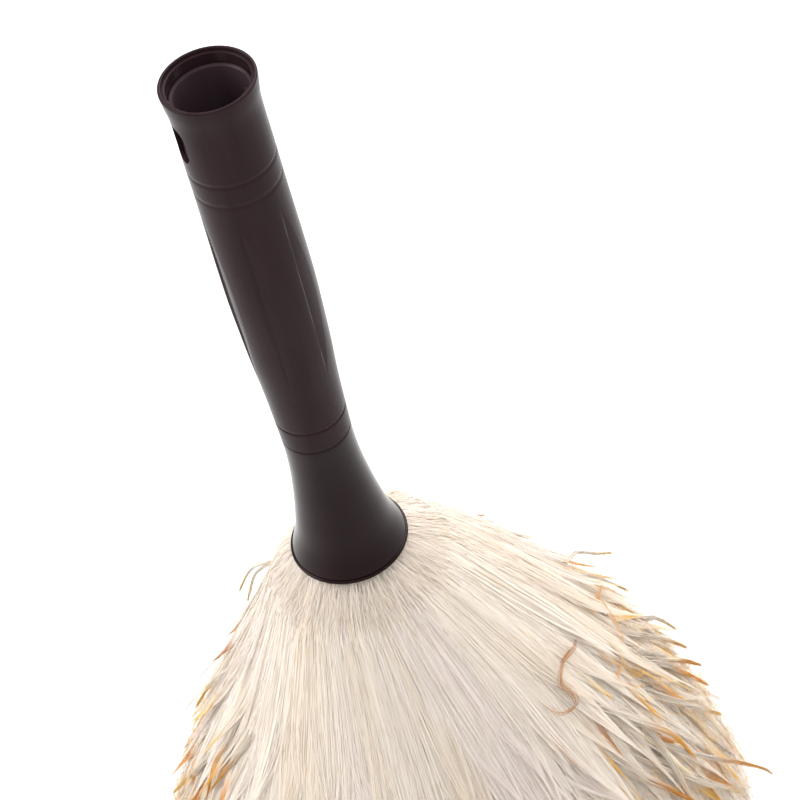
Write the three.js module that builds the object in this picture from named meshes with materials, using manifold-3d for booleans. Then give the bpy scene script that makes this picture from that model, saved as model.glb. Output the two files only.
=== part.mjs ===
// Wool hand duster: a hollow moulded grip that takes an extension pole, a flared bell ferrule,
// and a wooden core wrapped in long-wool sheepskin. Millimetres, +Z up along the handle's axis,
// standing on the head, origin in the middle of the head's underside. The hang slot runs along X.
import * as THREE from 'three';
import { mergeVertices } from 'three/addons/utils/BufferGeometryUtils.js';
import Module from 'manifold-3d';

const wasm = await Module();
wasm.setup();

// Overall heights
const TOTAL = 500;
const SEAM_Z = 339.4;
const LIP_Z = 277.2;
const GAP = 0.3;

// Grip
const MOUTH_R = 15.5;
const SOCKET_R = 13.3;
const SOCKET_DEPTH = 53;
const WEB = 3;
const WEB_VENT_R = 2.5;
const SLEEVE_SEAT_R = 11.4;
const SLEEVE_SEAT_DEPTH = 0.6;
const CHAMBER_R = 10;
const RIM_ROUND = 0.6;
const GROOVES = [[14.6, 468.5], [14.6, 460], [12.7, 349.5]];
const GROOVE_R = 0.6;
const FLUTES = 6;
const FIRST_FLUTE = (37 * Math.PI) / 180;
const FLUTE_Z = 412;
const FLUTE_HALF_LENGTH = 42;
const FLUTE_HALF_WIDTH = 3;
const FLUTE_DEPTH = 0.75;
const FLUTE_SUNK = 4;
const FLUTE_LEAN = 0.9;
const FLUTED_R = 14.9;
const SLOT_Z = 482;
const SLOT_WIDTH = 7.6;
const SLOT_LENGTH = 14;

// Pole socket sleeve and its thread for a pole of 22 mm
const SLEEVE_TOP = TOTAL - 5;
const SLEEVE_R = SOCKET_R - GAP;
const SLEEVE_BORE_R = 12;
const POLE_PITCH = 5;
const POLE_RIDGE_R = 0.8;
const POLE_THREAD_TOP = 471;
const POLE_THREAD_TURNS = 3.6;

// Screw joint between the head and the handle
const LEAD = 5;
const STUD_TOP = 356;
const THREAD_START = 335.5;
const STUD_R = 6.4;
const STUD_RIDGE_R = 1.1;
const NUT_TOP = 358.2;
const NUT_R = 9.7;
const NUT_BORE_R = 6.8;
const NUT_GROOVE_R = 1.45;

// Bell ferrule
const BELL_WALL = 1.8;
const BELL_WEB = 4;
const BELL_HOLE_R = 8;
const LIP_R = 21.7;

// Core and sheepskin
const DOWEL_R = 7;
const DOWEL_TOP = 329;
const DOWEL_BOTTOM = 24;
const CUP_R = 9.4;
const CUP_BOTTOM = 314;
const FLANGE_R = 10.2;
const FLANGE = 2.5;
const PIN_Z = 320;
const PIN_R = 1;
const PELT_R = 9.3;
const PELT_TOP = 276;
const PELT_BOTTOM = 26;
const PELT_STRIP = 31;
const THREAD_R = 0.6;
const THREAD_TURNS = 5;
const TACK_HEAD_R = 2.6;
const TACK_SHANK_R = 0.7;
const TACK_REACH = 6;

// Wool
const WOOL_BORE_R = PELT_R + 2.6;
const WOOL_R = 122;
const WOOL_GAP = 0.5;
const LOCKS = 12;
const LOCK_REACH = 6.5;
const LOCK_UNEVEN = 0.4;

const AROUND = 36;
const WOOL_AROUND = 4 * LOCKS;

// --- solids -------------------------------------------------------------------------------

function toSolid(geometry) {
  const bare = new THREE.BufferGeometry();
  bare.setAttribute('position', geometry.getAttribute('position').clone());
  if (geometry.index) bare.setIndex(geometry.index);
  const merged = mergeVertices(bare, 1e-4);
  const corners = merged.index.array;
  const kept = [];
  for (let i = 0; i < corners.length; i += 3) {
    const [a, b, c] = corners.slice(i, i + 3);
    if (a !== b && b !== c && c !== a) kept.push(a, b, c);
  }
  return new wasm.Manifold(new wasm.Mesh({
    numProp: 3,
    vertProperties: new Float32Array(merged.getAttribute('position').array),
    triVerts: new Uint32Array(kept),
  }));
}

function toGeometry(solid) {
  const mesh = solid.getMesh();
  const geometry = new THREE.BufferGeometry();
  geometry.setAttribute('position', new THREE.BufferAttribute(mesh.vertProperties, 3));
  geometry.setIndex(new THREE.BufferAttribute(mesh.triVerts, 1));
  return geometry;
}

// A body turned about Z from [radius, height] corners, counter-clockwise seen with Z upwards
function turned(outline, around = AROUND) {
  const points = outline.map(([r, z]) => new THREE.Vector2(r, z));
  return new THREE.LatheGeometry(points, around).rotateX(Math.PI / 2);
}

// A smooth run of [radius, height] points through a few given ones
function smooth(points, count) {
  const curve = new THREE.SplineCurve(points.map(([r, z]) => new THREE.Vector2(r, z)));
  return curve.getPoints(count).map((p) => [p.x, p.y]);
}

function cylinder(radius, bottom, top, around = AROUND) {
  return turned([[0, bottom], [radius, bottom], [radius, top], [0, top]], around);
}

class Helix extends THREE.Curve {
  constructor(radius, pitch, turns, bottom) {
    super();
    Object.assign(this, { radius, pitch, turns, bottom });
  }

  getPoint(t, target = new THREE.Vector3()) {
    const angle = 2 * Math.PI * this.turns * t;
    const z = this.bottom + this.pitch * this.turns * t;
    return target.set(this.radius * Math.cos(angle), this.radius * Math.sin(angle), z);
  }
}

// A round section carried up a right-hand helix
function coil(sectionR, radius, pitch, turns, bottom, sides = 5, perTurn = 12) {
  const section = new THREE.Shape();
  for (let i = 0; i < sides; i += 1) {
    const angle = (2 * Math.PI * i) / sides;
    const corner = [sectionR * Math.cos(angle), sectionR * Math.sin(angle)];
    if (i === 0) section.moveTo(...corner);
    else section.lineTo(...corner);
  }
  section.closePath();
  return new THREE.ExtrudeGeometry(section, {
    extrudePath: new Helix(radius, pitch, turns, bottom),
    steps: Math.round(perTurn * turns),
    curveSegments: 1,
  });
}

function material(color, roughness, metalness = 0) {
  return new THREE.MeshStandardMaterial({ color, roughness, metalness });
}

function part(name, shape, look) {
  const geometry = shape.isBufferGeometry ? shape : toGeometry(shape);
  const mesh = new THREE.Mesh(geometry, look);
  mesh.name = name;
  return mesh;
}

const darkPlastic = () => material(0x2a2124, 0.42);
const glossPlastic = () => material(0x241c1e, 0.28);
const brass = () => material(0xb08d4a, 0.35, 1);
const steel = () => material(0xb8b8bc, 0.3, 1);
const wood = () => material(0xc49a63, 0.7);
const hide = () => material(0xd9c9a8, 0.85);
const wool = () => material(0xe9e2da, 0.9);

// --- handle -------------------------------------------------------------------------------

function gripOutline() {
  const outside = smooth([
    [12.45, SEAM_Z + GAP / 2], [12.7, 350], [13.2, 365], [14.05, 380], [14.6, 395], [15, 410],
    [15, 425], [14.8, 440], [14.6, 455], [14.55, 470], [14.4, 482], [14.5, 490], [15.2, 496],
    [MOUTH_R, TOTAL - RIM_ROUND],
  ], 20);
  const webTop = TOTAL - SOCKET_DEPTH;
  const inside = [
    [MOUTH_R - RIM_ROUND, TOTAL], [SOCKET_R + RIM_ROUND, TOTAL], [SOCKET_R, TOTAL - RIM_ROUND],
    [SOCKET_R, webTop - SLEEVE_SEAT_DEPTH], [SLEEVE_SEAT_R, webTop - SLEEVE_SEAT_DEPTH],
    [SLEEVE_SEAT_R, webTop], [WEB_VENT_R, webTop], [WEB_VENT_R, webTop - WEB],
    [CHAMBER_R, webTop - WEB], [CHAMBER_R, SEAM_Z + GAP / 2],
  ];
  return [...outside, ...inside, outside[0]];
}

// Long lens-shaped hollow cut where the grip's side runs past it
function flute(index) {
  const cutter = new THREE.SphereGeometry(1, 14, 16).rotateX(Math.PI / 2);
  cutter.scale(FLUTE_HALF_WIDTH, FLUTE_SUNK, FLUTE_HALF_LENGTH);
  cutter.translate(0, -(FLUTED_R + FLUTE_SUNK - FLUTE_DEPTH), FLUTE_Z);
  const lean = Math.atan2(FLUTE_LEAN, FLUTE_HALF_LENGTH);
  cutter.translate(0, 0, -FLUTE_Z).rotateX(lean).translate(0, 0, FLUTE_Z);
  return cutter.rotateZ(FIRST_FLUTE + (2 * Math.PI * index) / FLUTES);
}

// Stadium-shaped bar along X that opens the hang slot
function slotBar(width = SLOT_WIDTH, length = SLOT_LENGTH) {
  const half = width / 2;
  const straight = length / 2 - half;
  const shape = new THREE.Shape();
  shape.absarc(0, straight, half, 0, Math.PI);
  shape.absarc(0, -straight, half, Math.PI, 2 * Math.PI);
  const bar = new THREE.ExtrudeGeometry(shape, {
    depth: 4 * MOUTH_R, bevelEnabled: false, curveSegments: 7,
  });
  bar.translate(0, 0, -2 * MOUTH_R).rotateY(Math.PI / 2).rotateX(Math.PI / 2);
  return bar.translate(0, 0, SLOT_Z);
}

function gripShell() {
  let shell = toSolid(turned(gripOutline()));
  for (const [sideR, z] of GROOVES) {
    const ring = new THREE.TorusGeometry(sideR + GROOVE_R / 3, GROOVE_R, 5, AROUND);
    shell = shell.subtract(toSolid(ring.translate(0, 0, z)));
  }
  for (let i = 0; i < FLUTES; i += 1) shell = shell.subtract(toSolid(flute(i)));
  return part('grip_shell', shell.subtract(toSolid(slotBar())), darkPlastic());
}

function socketSleeve() {
  const bottom = TOTAL - SOCKET_DEPTH - SLEEVE_SEAT_DEPTH + GAP;
  const tube = turned([
    [SLEEVE_BORE_R, bottom], [SLEEVE_R, bottom], [SLEEVE_R, SLEEVE_TOP], [SLEEVE_BORE_R, SLEEVE_TOP],
    [SLEEVE_BORE_R, bottom],
  ], 24);
  const low = POLE_THREAD_TOP - POLE_PITCH * POLE_THREAD_TURNS;
  const ridge = coil(POLE_RIDGE_R, SLEEVE_BORE_R, POLE_PITCH, POLE_THREAD_TURNS, low);
  const sleeve = toSolid(tube).add(toSolid(ridge)).subtract(toSolid(slotBar()));
  return part('pole_socket_sleeve', sleeve, darkPlastic());
}

function threadInsert() {
  const bottom = SEAM_Z + GAP;
  const body = toSolid(cylinder(NUT_R, bottom, NUT_TOP, 12));
  const bore = toSolid(cylinder(NUT_BORE_R, bottom - 1, NUT_TOP + 1, 24));
  const turns = (NUT_TOP - THREAD_START) / LEAD + 1;
  const groove = coil(NUT_GROOVE_R, NUT_BORE_R, LEAD, turns, THREAD_START);
  return part('thread_insert', body.subtract(bore).subtract(toSolid(groove)), brass());
}

// --- ferrule ------------------------------------------------------------------------------

function bellFerrule() {
  const top = SEAM_Z - GAP / 2;
  const side = [
    [20.2, LIP_Z + 4], [17.6, 289], [15.6, 300], [14.15, 310], [13.05, 320], [12.5, 330], [12.45, top - 0.4],
  ];
  const outside = smooth(side, 10);
  const inside = outside.slice(0, -1).map(([r, z]) => [r - BELL_WALL, z]).reverse()
    .filter(([, z]) => z < top - BELL_WEB - 1);
  const outline = [
    [LIP_R - 1, LIP_Z], [LIP_R - 0.3, LIP_Z + 0.3], [LIP_R, LIP_Z + 1.2], [LIP_R - 0.3, LIP_Z + 2.2],
    ...outside, [12.1, top], [BELL_HOLE_R, top], [BELL_HOLE_R, top - BELL_WEB],
    [inside[0][0], top - BELL_WEB], ...inside, [LIP_R - 1, LIP_Z],
  ];
  return part('bell_ferrule', turned(outline), glossPlastic());
}

// --- head: core ---------------------------------------------------------------------------

function threadedSpigot() {
  const shoulder = SEAM_Z - GAP / 2 - BELL_WEB - GAP;
  const body = toSolid(turned([
    [0, DOWEL_TOP + GAP], [DOWEL_R + GAP, DOWEL_TOP + GAP], [DOWEL_R + GAP, CUP_BOTTOM],
    [CUP_R, CUP_BOTTOM], [CUP_R, shoulder - FLANGE], [FLANGE_R, shoulder - FLANGE],
    [FLANGE_R, shoulder], [BELL_HOLE_R - 0.6, shoulder], [BELL_HOLE_R - 0.6, SEAM_Z - 1],
    [STUD_R, SEAM_Z - 0.4], [STUD_R, STUD_TOP - 1], [STUD_R - 1, STUD_TOP], [0, STUD_TOP],
  ], 24));
  const turns = (STUD_TOP - THREAD_START) / LEAD - 1.4;
  const ridge = toSolid(coil(STUD_RIDGE_R, STUD_R, LEAD, turns, THREAD_START + LEAD));
  return part('threaded_spigot', body.add(ridge).subtract(toSolid(crossPin(PIN_R + GAP))), steel());
}

function crossPin(radius, half = CUP_R + 2) {
  const pin = new THREE.CylinderGeometry(radius, radius, 2 * half, 10);
  return pin.rotateZ(Math.PI / 2).translate(0, 0, PIN_Z);
}

function tack(angle, z, reach) {
  const profile = [
    [0, -reach], [TACK_SHANK_R, 1.5 - reach], [TACK_SHANK_R, 0], [TACK_HEAD_R, 0],
    [TACK_HEAD_R * 0.7, 0.8], [0, 1.1],
  ];
  const body = turned(profile, 10);
  return body.rotateY(Math.PI / 2).translate(PELT_R + GAP, 0, 0).rotateZ(angle).translate(0, 0, z);
}

function tackHole(angle, z, reach) {
  const hole = cylinder(TACK_SHANK_R + GAP, -reach - GAP, 2, 8);
  return hole.rotateY(Math.PI / 2).translate(PELT_R + GAP, 0, 0).rotateZ(angle).translate(0, 0, z);
}

const TACKS = [
  ['upper_tack_1', Math.PI / 2, PELT_TOP - 18],
  ['upper_tack_2', -Math.PI / 2, PELT_TOP - 20],
  ['lower_tack_1', Math.PI / 2, PELT_BOTTOM + 8],
  ['lower_tack_2', -Math.PI / 2, PELT_BOTTOM + 10],
];

// The nail that holds the end patch goes up the dowel's axis
function endNail() {
  const head = DOWEL_BOTTOM - 2 * GAP - 2;
  return turned([
    [0, head - 1], [TACK_HEAD_R * 0.7, head - 0.8], [TACK_HEAD_R, head - GAP / 3],
    [TACK_SHANK_R, head - GAP / 3], [TACK_SHANK_R, DOWEL_BOTTOM + 9], [0, DOWEL_BOTTOM + 11],
  ], 10);
}

function coreDowel() {
  const chamfer = 1;
  let dowel = toSolid(turned([
    [0, DOWEL_BOTTOM], [DOWEL_R, DOWEL_BOTTOM], [DOWEL_R, DOWEL_TOP - chamfer],
    [DOWEL_R - chamfer, DOWEL_TOP], [0, DOWEL_TOP],
  ], 24));
  dowel = dowel.subtract(toSolid(crossPin(PIN_R + GAP)));
  dowel = dowel.subtract(toSolid(cylinder(TACK_SHANK_R + GAP, DOWEL_BOTTOM - 2, DOWEL_BOTTOM + 12, 8)));
  for (const [, angle, z] of TACKS) dowel = dowel.subtract(toSolid(tackHole(angle, z, TACK_REACH)));
  return part('core_dowel', dowel, wood());
}

// A sheepskin strip wound round the dowel, its edges meeting along a spiral seam
function peltWrap() {
  const inner = DOWEL_R + GAP;
  let pelt = toSolid(turned([
    [inner, PELT_BOTTOM], [PELT_R, PELT_BOTTOM], [PELT_R, PELT_TOP], [inner, PELT_TOP],
    [inner, PELT_BOTTOM],
  ], 18));
  const turns = (PELT_TOP - PELT_BOTTOM) / PELT_STRIP - 0.4;
  const seam = coil(0.8, PELT_R, PELT_STRIP, turns, PELT_BOTTOM + 6, 4, 9);
  pelt = pelt.subtract(toSolid(seam));
  for (const [, angle, z] of TACKS) pelt = pelt.subtract(toSolid(tackHole(angle, z, TACK_REACH)));
  return part('pelt_wrap', pelt, hide());
}

function peltEndPatch() {
  const top = DOWEL_BOTTOM - GAP;
  const disc = toSolid(cylinder(PELT_R, top - 2, top, 24));
  return part('pelt_end_patch', disc.subtract(toSolid(cylinder(1, top - 3, top + 1, 8))), hide());
}

function bindingThread() {
  const pitch = 2 * THREAD_R + 0.25;
  const radius = PELT_R + GAP + THREAD_R;
  const bottom = PELT_TOP - 3 - pitch * THREAD_TURNS;
  return part('binding_thread', coil(THREAD_R, radius, pitch, THREAD_TURNS, bottom, 6, 14), hide());
}

// --- head: wool ---------------------------------------------------------------------------

// Radius of the wool's outside at a height, from the lip down to the floor
const WOOL_SIDE = new THREE.SplineCurve([
  [14.5, 281], [20.5, 276], [30.5, 263], [42.5, 244], [56, 221], [69, 198], [82, 174], [94.5, 149],
  [105.5, 124], [114.5, 99], [120, 74], [WOOL_R, 50], [115.5, 24], [98, 0],
].map(([r, z]) => new THREE.Vector2(r, z)));

// Where one tier of wool hangs over the next: the edge's height at the bore, and its fall for each
// millimetre outwards
const EDGES = [[281, 1.2], [244, 1.05], [206, 0.85], [166, 0.68], [124, 0.5], [80, 0.3], [0, 0]];
const TIERS = EDGES.length - 1;

function sidePoint(t) {
  const p = WOOL_SIDE.getPoint(t);
  return [p.x, p.y];
}

// Where a sloping edge comes out through the wool's side
function edgeAt(boreZ, droop) {
  let [above, below] = [0, 1];
  while (below - above > 1e-7) {
    const middle = (above + below) / 2;
    const [r, z] = sidePoint(middle);
    if (z > boreZ - droop * (r - WOOL_BORE_R)) above = middle;
    else below = middle;
  }
  return below;
}

// Pushes the outer part of a tier out and in as a ring of pointed locks. Each point slides along a
// slope between those of the tier's two edges, so that neighbours keep their gap.
function lock(body, index) {
  const position = body.getAttribute('position');
  const [[topZ, topDroop], [bottomZ, bottomDroop]] = [EDGES[index], EDGES[index + 1]];
  for (let i = 0; i < position.count; i += 1) {
    const [x, y, z] = [position.getX(i), position.getY(i), position.getZ(i)];
    const r = Math.hypot(x, y);
    const reach = r - WOOL_BORE_R;
    if (reach > 0) {
      const angle = Math.atan2(y, x);
      const crest = 1 - 2 * Math.abs(Math.sin((LOCKS * angle + Math.PI * index) / 2));
      const uneven = 1 + LOCK_UNEVEN * Math.sin(4 * angle + 2 * index);
      const out = (LOCK_REACH * crest * uneven * reach) / (WOOL_R - WOOL_BORE_R);
      const [upper, lower] = [topZ - topDroop * reach, bottomZ - bottomDroop * reach];
      const share = THREE.MathUtils.clamp((upper - z) / (upper - lower), 0, 1);
      const droop = THREE.MathUtils.lerp(topDroop, bottomDroop, share);
      const grown = (r + out) / r;
      position.setXYZ(i, x * grown, y * grown, Math.max(0, z - droop * out));
    }
  }
  return body;
}

function woolTier(index) {
  const [topZ, topDroop] = EDGES[index];
  const [nextZ, nextDroop] = EDGES[index + 1];
  const lowest = index === TIERS - 1;
  const start = index === 0 ? 0 : edgeAt(topZ, topDroop);
  const end = lowest ? 1 : edgeAt(nextZ + WOOL_GAP, nextDroop);
  const pieces = Math.max(3, Math.round(22 * (end - start)));
  const side = [];
  for (let i = 0; i <= pieces; i += 1) side.push(sidePoint(end + ((start - end) * i) / pieces));
  const closing = DOWEL_BOTTOM - 8;
  const core = lowest
    ? [[WOOL_BORE_R, topZ], [WOOL_BORE_R, closing], [0, closing]]
    : [[WOOL_BORE_R, topZ], [WOOL_BORE_R, nextZ + WOOL_GAP], side[0]];
  const outline = lowest ? [[0, 0], ...side, ...core] : [...side, ...core];
  return part(`wool_tier_${index + 1}`, lock(turned(outline, WOOL_AROUND), index), wool());
}

// --- assembly -----------------------------------------------------------------------------

const handle = new THREE.Group();
handle.add(gripShell(), socketSleeve(), threadInsert());

const ferrule = new THREE.Group();
ferrule.add(bellFerrule());

const head = new THREE.Group();
head.add(threadedSpigot(), part('spigot_pin', crossPin(PIN_R, CUP_R), steel()), coreDowel());
head.add(peltWrap(), peltEndPatch(), bindingThread(), part('end_nail', endNail(), steel()));
for (const [name, angle, z] of TACKS) head.add(part(name, tack(angle, z, TACK_REACH), steel()));
for (let i = 0; i < TIERS; i += 1) head.add(woolTier(i));

const duster = new THREE.Group();
duster.add(handle, ferrule, head);

export default duster;
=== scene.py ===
"""Wool hand duster: the visual model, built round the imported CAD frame. Metres, in the CAD's frame."""
import math

import bmesh
import bpy
import numpy as np
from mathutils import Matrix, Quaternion, Vector

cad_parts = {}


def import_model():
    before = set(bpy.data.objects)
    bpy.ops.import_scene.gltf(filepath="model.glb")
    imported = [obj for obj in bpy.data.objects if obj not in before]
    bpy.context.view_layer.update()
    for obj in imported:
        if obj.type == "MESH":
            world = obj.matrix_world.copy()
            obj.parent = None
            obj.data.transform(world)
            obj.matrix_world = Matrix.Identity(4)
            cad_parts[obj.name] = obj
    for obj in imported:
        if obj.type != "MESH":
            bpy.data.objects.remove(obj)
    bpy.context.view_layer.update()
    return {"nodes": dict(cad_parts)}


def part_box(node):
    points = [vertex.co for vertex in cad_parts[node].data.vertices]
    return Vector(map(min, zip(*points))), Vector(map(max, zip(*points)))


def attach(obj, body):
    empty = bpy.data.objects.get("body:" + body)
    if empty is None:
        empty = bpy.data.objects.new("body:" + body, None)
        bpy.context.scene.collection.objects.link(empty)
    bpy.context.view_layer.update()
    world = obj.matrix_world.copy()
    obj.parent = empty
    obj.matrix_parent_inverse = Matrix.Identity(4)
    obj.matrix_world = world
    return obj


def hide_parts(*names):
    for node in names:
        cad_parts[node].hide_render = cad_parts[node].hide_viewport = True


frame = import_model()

MM = 0.001

# Camera: where it stands, what it looks at, and how far it is rolled
CAMERA_OUT = 0.608
CAMERA_AZIMUTH = math.radians(-16.1)
CAMERA_Z = 0.999
AIM = Vector((0.029, -0.010, 0.341))
ROLL = math.radians(15.2)
LENS = 117
SENSOR = 36

# Handle and ferrule
MOUTH_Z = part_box("grip_shell")[1].z
SEAM_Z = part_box("grip_shell")[0].z
MOUTH_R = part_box("grip_shell")[1].x
LIP_Z, BELL_TOP_Z = (corner.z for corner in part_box("bell_ferrule"))
LIP_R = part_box("bell_ferrule")[1].x
SLEEVE_BOTTOM_Z, SLEEVE_TOP_Z = (corner.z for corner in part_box("pole_socket_sleeve"))
SLEEVE_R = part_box("pole_socket_sleeve")[1].x
SLEEVE_BORE_R = SLEEVE_R - 1 * MM
SOCKET_R = SLEEVE_R + 0.3 * MM
SOCKET_FLOOR_Z = MOUTH_Z - 53 * MM
LEDGE_R = 14.4 * MM
LEDGE_DEPTH = 1.1 * MM
CHAMBER_R = 10 * MM
VENT_R = 2.5 * MM
WEB = 3 * MM
NECK_R = 12.45 * MM
BELL_WALL = 1.8 * MM
BELL_WEB = 4 * MM
BELL_HOLE_R = 8 * MM
GROOVE_HEIGHTS = (0.4685, 0.460, 0.3495)
GROOVE_HALF_WIDTH = 0.65 * MM
GROOVE_DEPTH = 0.32 * MM
FLUTES = 6
FLUTE_Z = 0.412
FLUTE_HALF_LENGTH = 40 * MM
FLUTE_WIDTH = 6 * MM
FLUTE_STEP = 0.6 * MM  # width of the steep wall on a flute's left
FLUTE_AZIMUTH = math.radians(25.5)
FLUTE_DEPTH = 0.75 * MM
SLOT_Z = 0.482
SLOT_WIDTH = 7.6 * MM
SLOT_LENGTH = 14 * MM
POLE_PITCH = 5 * MM
POLE_RIDGE = 0.8 * MM
POLE_THREAD = (0.453, 0.471)

# Pelt and binding
PELT_BOTTOM_Z, PELT_TOP_Z = (corner.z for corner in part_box("pelt_wrap"))
PELT_R = 9.3 * MM
PELT_BORE_R = 7.3 * MM
PELT_STRIP = 31 * MM
SEAM_DEPTH = 0.9 * MM
BINDING_TURNS = 5
BINDING_R = 0.6 * MM

# Wool: its outside from the lip to the floor on the full side and on the lean side, (radius, height) in mm
FULL_AZIMUTH = math.radians(71)
FULL_SIDE = [(15, 280), (22, 276), (33, 265), (46, 247), (61, 224), (75, 199), (88, 174), (101, 149),
             (112, 124), (121, 99), (127, 74), (127, 50), (120, 24), (102, 1)]
LEAN_SIDE = [(15, 280), (22, 276), (31, 263), (40, 243), (52, 220), (64, 197), (76, 173), (88, 149),
             (99, 124), (108, 99), (114, 74), (116, 50), (110, 24), (95, 1)]
LEAN_OUT = 0.85  # how far the fibres' shading leans from their own side to the coat's outside
TINY = np.array([1e-4, 2e-4, 3e-4])  # keeps cross products off zero
STRAND_MAP = "OFBake"  # UV of every strand: its lock's column and tint, and the share of its length
ROOT = np.array([PELT_R, PELT_TOP_Z - 4 * MM])  # where the top tier's locks grow from the pelt
FLOOR_GAP = 0.8 * MM  # no fibre goes lower
LOCK_FIBRES = 60
SEED = 11


# --- meshes -------------------------------------------------------------------------------------


def spline(points, count):
    """Catmull-Rom curve through a list of points, count points long."""
    given = np.array(points, float)
    last = len(given) - 1
    at = np.linspace(0, last, count)
    i = np.minimum(at.astype(int), last - 1)
    u = (at - i)[:, None]
    before, here, after, beyond = (given[np.clip(i + k, 0, last)] for k in (-1, 0, 1, 2))
    return 0.5 * (2 * here + (after - before) * u + (2 * before - 5 * here + 4 * after - beyond) * u**2
                  + (3 * here - before - 3 * after + beyond) * u**3)


def even_steps(points):
    """The same curve with its points an equal distance apart."""
    gone = np.concatenate([[0], np.cumsum(np.linalg.norm(np.diff(points, axis=0), axis=1))])
    steps = np.linspace(0, gone[-1], len(points))
    return np.stack([np.interp(steps, gone, points[:, k]) for k in range(points.shape[1])], axis=1)


def unit(v):
    return v / (np.linalg.norm(v, axis=-1, keepdims=True) + 1e-12)


def smoothstep(x, low=0.0, high=1.0):
    x = np.clip((x - low) / (high - low), 0, 1)
    return x * x * (3 - 2 * x)


def place(azimuth, radius, z):
    """Points round the handle's axis; azimuth 0 is towards -Y and grows towards +X."""
    return np.stack([radius * np.sin(azimuth), -radius * np.cos(azimuth), z + 0 * azimuth], axis=-1)


def mesh_object(name, points, loops, sizes):
    """A smooth-shaded mesh object from points, every face's corners in a row, and the faces' sizes."""
    mesh = bpy.data.meshes.new(name)
    mesh.vertices.add(len(points))
    mesh.vertices.foreach_set("co", np.asarray(points, np.float32).ravel())
    mesh.loops.add(len(loops))
    mesh.loops.foreach_set("vertex_index", np.asarray(loops, np.int32))
    mesh.polygons.add(len(sizes))
    starts = np.concatenate([[0], np.cumsum(sizes)[:-1]])
    mesh.polygons.foreach_set("loop_start", starts.astype(np.int32))
    mesh.polygons.foreach_set("use_smooth", np.ones(len(sizes), bool))
    mesh.update(calc_edges=True)
    made = bpy.data.objects.new(name, mesh)
    bpy.context.scene.collection.objects.link(made)
    return made


def turned(name, outline, around, shape=None):
    """A body turned about Z from a closed [radius, height] outline, counter-clockwise with Z up.
    shape(azimuth, radius, z) gives each point's final radius and height."""
    profile = np.array(outline, float)
    azimuth = np.linspace(0, 2 * math.pi, around, endpoint=False)[:, None]
    radius = np.broadcast_to(profile[:, 0], (around, len(profile)))
    z = np.broadcast_to(profile[:, 1], (around, len(profile)))
    if shape:
        radius, z = shape(azimuth, radius, z)
    points = place(azimuth, radius, z).reshape(-1, 3)
    count = len(profile)
    a = np.arange(around)[:, None] * count
    b = (np.arange(around)[:, None] + 1) % around * count
    j = np.arange(count)
    k = (j + 1) % count
    quads = np.stack([a + j, b + j, b + k, a + k], axis=-1).reshape(-1, 4)
    made = mesh_object(name, points, quads.ravel(), np.full(len(quads), 4))
    weld(made)
    return made


def weld(obj, distance=1e-7):
    """Merges the points that meet, as on the axis, and drops faces left with no area."""
    bm = bmesh.new()
    bm.from_mesh(obj.data)
    bmesh.ops.remove_doubles(bm, verts=bm.verts, dist=distance)
    bmesh.ops.dissolve_degenerate(bm, dist=distance, edges=bm.edges)
    bmesh.ops.recalc_face_normals(bm, faces=bm.faces)
    bm.to_mesh(obj.data)
    bm.free()


def sharpen(obj, degrees):
    obj.data.set_sharp_from_angle(angle=math.radians(degrees))


def cut(obj, cutter):
    """Takes cutter away from obj, and removes cutter."""
    boolean = obj.modifiers.new("cut", "BOOLEAN")
    boolean.operation = "DIFFERENCE"
    boolean.solver = "EXACT"
    boolean.object = cutter
    bpy.context.view_layer.update()
    evaluated = obj.evaluated_get(bpy.context.evaluated_depsgraph_get())
    mesh = bpy.data.meshes.new_from_object(evaluated)
    obj.modifiers.clear()
    obj.data = mesh
    bpy.data.objects.remove(cutter)


def repeated(name, points, pattern, sizes, knots, u, share):
    """Many like pieces in one mesh: points (piece, point, 3), one piece's faces as a pattern of its
    points, and the faces' sizes. Their UV map, if wanted, holds each piece's u and its share at the
    knot of each point."""
    count, per_piece = points.shape[:2]
    loops = (pattern[None] + np.arange(count)[:, None] * per_piece).ravel()
    made = mesh_object(name, points.reshape(-1, 3), loops, np.tile(sizes, count))
    if u is not None:
        uv = np.stack([np.repeat(u, len(pattern)), share[:, knots[pattern]].ravel()], axis=-1)
        layer = made.data.uv_layers.new(name=STRAND_MAP)
        layer.data.foreach_set("uv", uv.astype(np.float32).ravel())
    return made


def tubes(name, paths, radius, sides, u=None, share=None):
    """Closed tapering tubes along paths, an array (tube, knot, 3). Each ends in a point."""
    count, knots = paths.shape[:2]
    along = unit(np.gradient(paths, axis=1))
    right = unit(np.cross(along, np.cross(along[:, :1], along[:, -1:]) + TINY))
    up = np.cross(along, right)
    turn = 2 * math.pi * np.arange(sides) / sides
    ring = right[:, :-1, None] * np.cos(turn)[:, None] + up[:, :-1, None] * np.sin(turn)[:, None]
    rings = paths[:, :-1, None] + ring * radius[:, :-1, None, None]
    points = np.concatenate([rings.reshape(count, -1, 3), paths[:, -1:]], axis=1)

    j = np.arange(sides)
    k = (j + 1) % sides
    row = np.arange(knots - 2)[:, None] * sides
    quads = np.stack([row + j, row + k, row + sides + k, row + sides + j], axis=-1).reshape(-1)
    last = (knots - 2) * sides
    ends = np.stack([last + j, last + k, np.full(sides, last + sides)], axis=-1).reshape(-1)
    pattern = np.concatenate([quads, ends, j[::-1]])
    sizes = np.concatenate([np.full(len(quads) // 4, 4), np.full(sides, 3), [sides]])
    knot_of = np.append(np.repeat(np.arange(knots - 1), sides), knots - 1)
    return repeated(name, points, pattern, sizes, knot_of, u, share)


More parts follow.
